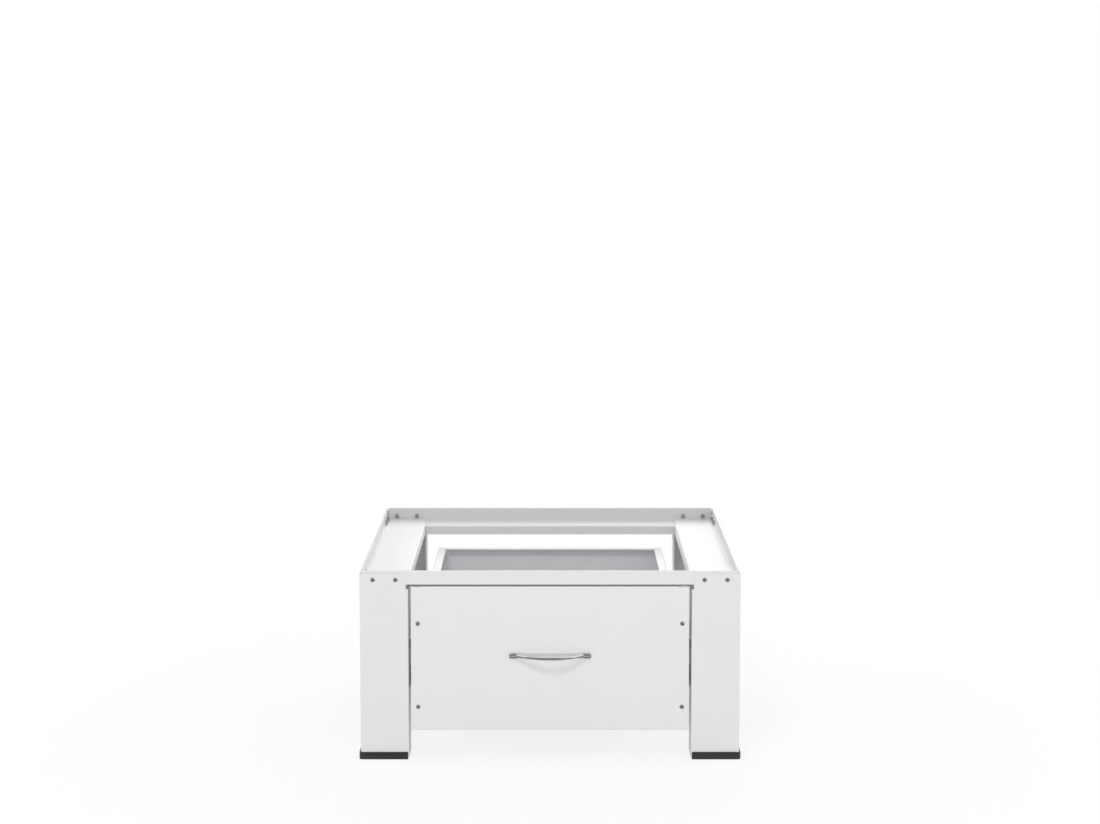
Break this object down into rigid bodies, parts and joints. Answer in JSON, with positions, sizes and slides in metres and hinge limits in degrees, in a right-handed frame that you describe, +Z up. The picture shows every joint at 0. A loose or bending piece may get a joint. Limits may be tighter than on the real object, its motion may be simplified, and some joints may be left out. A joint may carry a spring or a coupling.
{
  "type": "washing machine pedestal with drawer",
  "caption": "White folded sheet-steel stand on four corner legs with black foot caps, a raised rim for the machine, and a full-extension drawer with a chrome bow handle.",
  "frame": {"origin": "on the floor, at the centre of the outline in plan, from the handle's bow to the rear foot caps", "axes": "+Z up, +X to the right seen from the front, the front with the drawer faces -Y"},
  "size_m": [0.63, 0.5606, 0.3164],
  "materials": {
    "powder_coat": "white powder coat, satin",
    "foot_plastic": "black moulded plastic, matte",
    "fastener": "zinc plated",
    "rail_steel": "galvanised sheet",
    "slide_steel": "bright zinc, cold rolled",
    "cage_steel": "thin bright strip",
    "ball_steel": "polished ball bearings",
    "handle_chrome": "polished chrome"
  },
  "bodies": {
    "frame": {"leg_front_left": "powder_coat", "leg_front_right": "powder_coat", "leg_rear_left": "powder_coat", "leg_rear_right": "powder_coat", "foot_front_left": "foot_plastic", "foot_front_right": "foot_plastic", "foot_rear_left": "foot_plastic", "foot_rear_right": "foot_plastic", "beam_front": "powder_coat", "beam_rear": "powder_coat", "beam_left": "powder_coat", "beam_right": "powder_coat", "frame_bolts": "fastener", "frame_nuts": "fastener", "rail_left": "rail_steel", "rail_right": "rail_steel", "rail_bolts": "fastener", "rail_nuts": "fastener", "slide_outer_left": "slide_steel", "slide_outer_right": "slide_steel", "slide_screws": "fastener", "slide_nuts": "fastener"},
    "drawer": {"drawer_front": "powder_coat", "drawer_side_left": "powder_coat", "drawer_side_right": "powder_coat", "drawer_back": "powder_coat", "drawer_bottom": "powder_coat", "front_screws": "fastener", "front_nuts": "fastener", "runner_screws": "fastener", "runner_nuts": "fastener", "drawer_rivets": "fastener", "handle": "handle_chrome", "handle_screws": "fastener", "slide_inner_left": "slide_steel", "slide_inner_right": "slide_steel"},
    "middle_left": {"slide_middle_left": "slide_steel"},
    "ball_cage_outer_left": {"cage_outer_left": "cage_steel", "balls_outer_left": "ball_steel"},
    "ball_cage_inner_left": {"cage_inner_left": "cage_steel", "balls_inner_left": "ball_steel"},
    "middle_right": {"slide_middle_right": "slide_steel"},
    "ball_cage_outer_right": {"cage_outer_right": "cage_steel", "balls_outer_right": "ball_steel"},
    "ball_cage_inner_right": {"cage_inner_right": "cage_steel", "balls_inner_right": "ball_steel"}
  },
  "joints": [
    {"name": "drawer_slide", "type": "slide", "parent": "frame", "child": "drawer", "axis": [0, -1, 0], "range_m": [0, 0.38]},
    {"name": "middle_left_slide", "type": "slide", "parent": "frame", "child": "middle_left", "axis": [0, -1, 0], "range_m": [0, 0.19]},
    {"name": "ball_cage_outer_left_slide", "type": "slide", "parent": "frame", "child": "ball_cage_outer_left", "axis": [0, -1, 0], "range_m": [0, 0.095]},
    {"name": "ball_cage_inner_left_slide", "type": "slide", "parent": "frame", "child": "ball_cage_inner_left", "axis": [0, -1, 0], "range_m": [0, 0.285]},
    {"name": "middle_right_slide", "type": "slide", "parent": "frame", "child": "middle_right", "axis": [0, -1, 0], "range_m": [0, 0.19]},
    {"name": "ball_cage_outer_right_slide", "type": "slide", "parent": "frame", "child": "ball_cage_outer_right", "axis": [0, -1, 0], "range_m": [0, 0.095]},
    {"name": "ball_cage_inner_right_slide", "type": "slide", "parent": "frame", "child": "ball_cage_inner_right", "axis": [0, -1, 0], "range_m": [0, 0.285]}
  ],
  "couplings": [
    {"joint": "middle_left_slide", "follows": "drawer_slide", "ratio": 0.5},
    {"joint": "ball_cage_outer_left_slide", "follows": "drawer_slide", "ratio": 0.25},
    {"joint": "ball_cage_inner_left_slide", "follows": "drawer_slide", "ratio": 0.75},
    {"joint": "middle_right_slide", "follows": "drawer_slide", "ratio": 0.5},
    {"joint": "ball_cage_outer_right_slide", "follows": "drawer_slide", "ratio": 0.25},
    {"joint": "ball_cage_inner_right_slide", "follows": "drawer_slide", "ratio": 0.75}
  ]
}
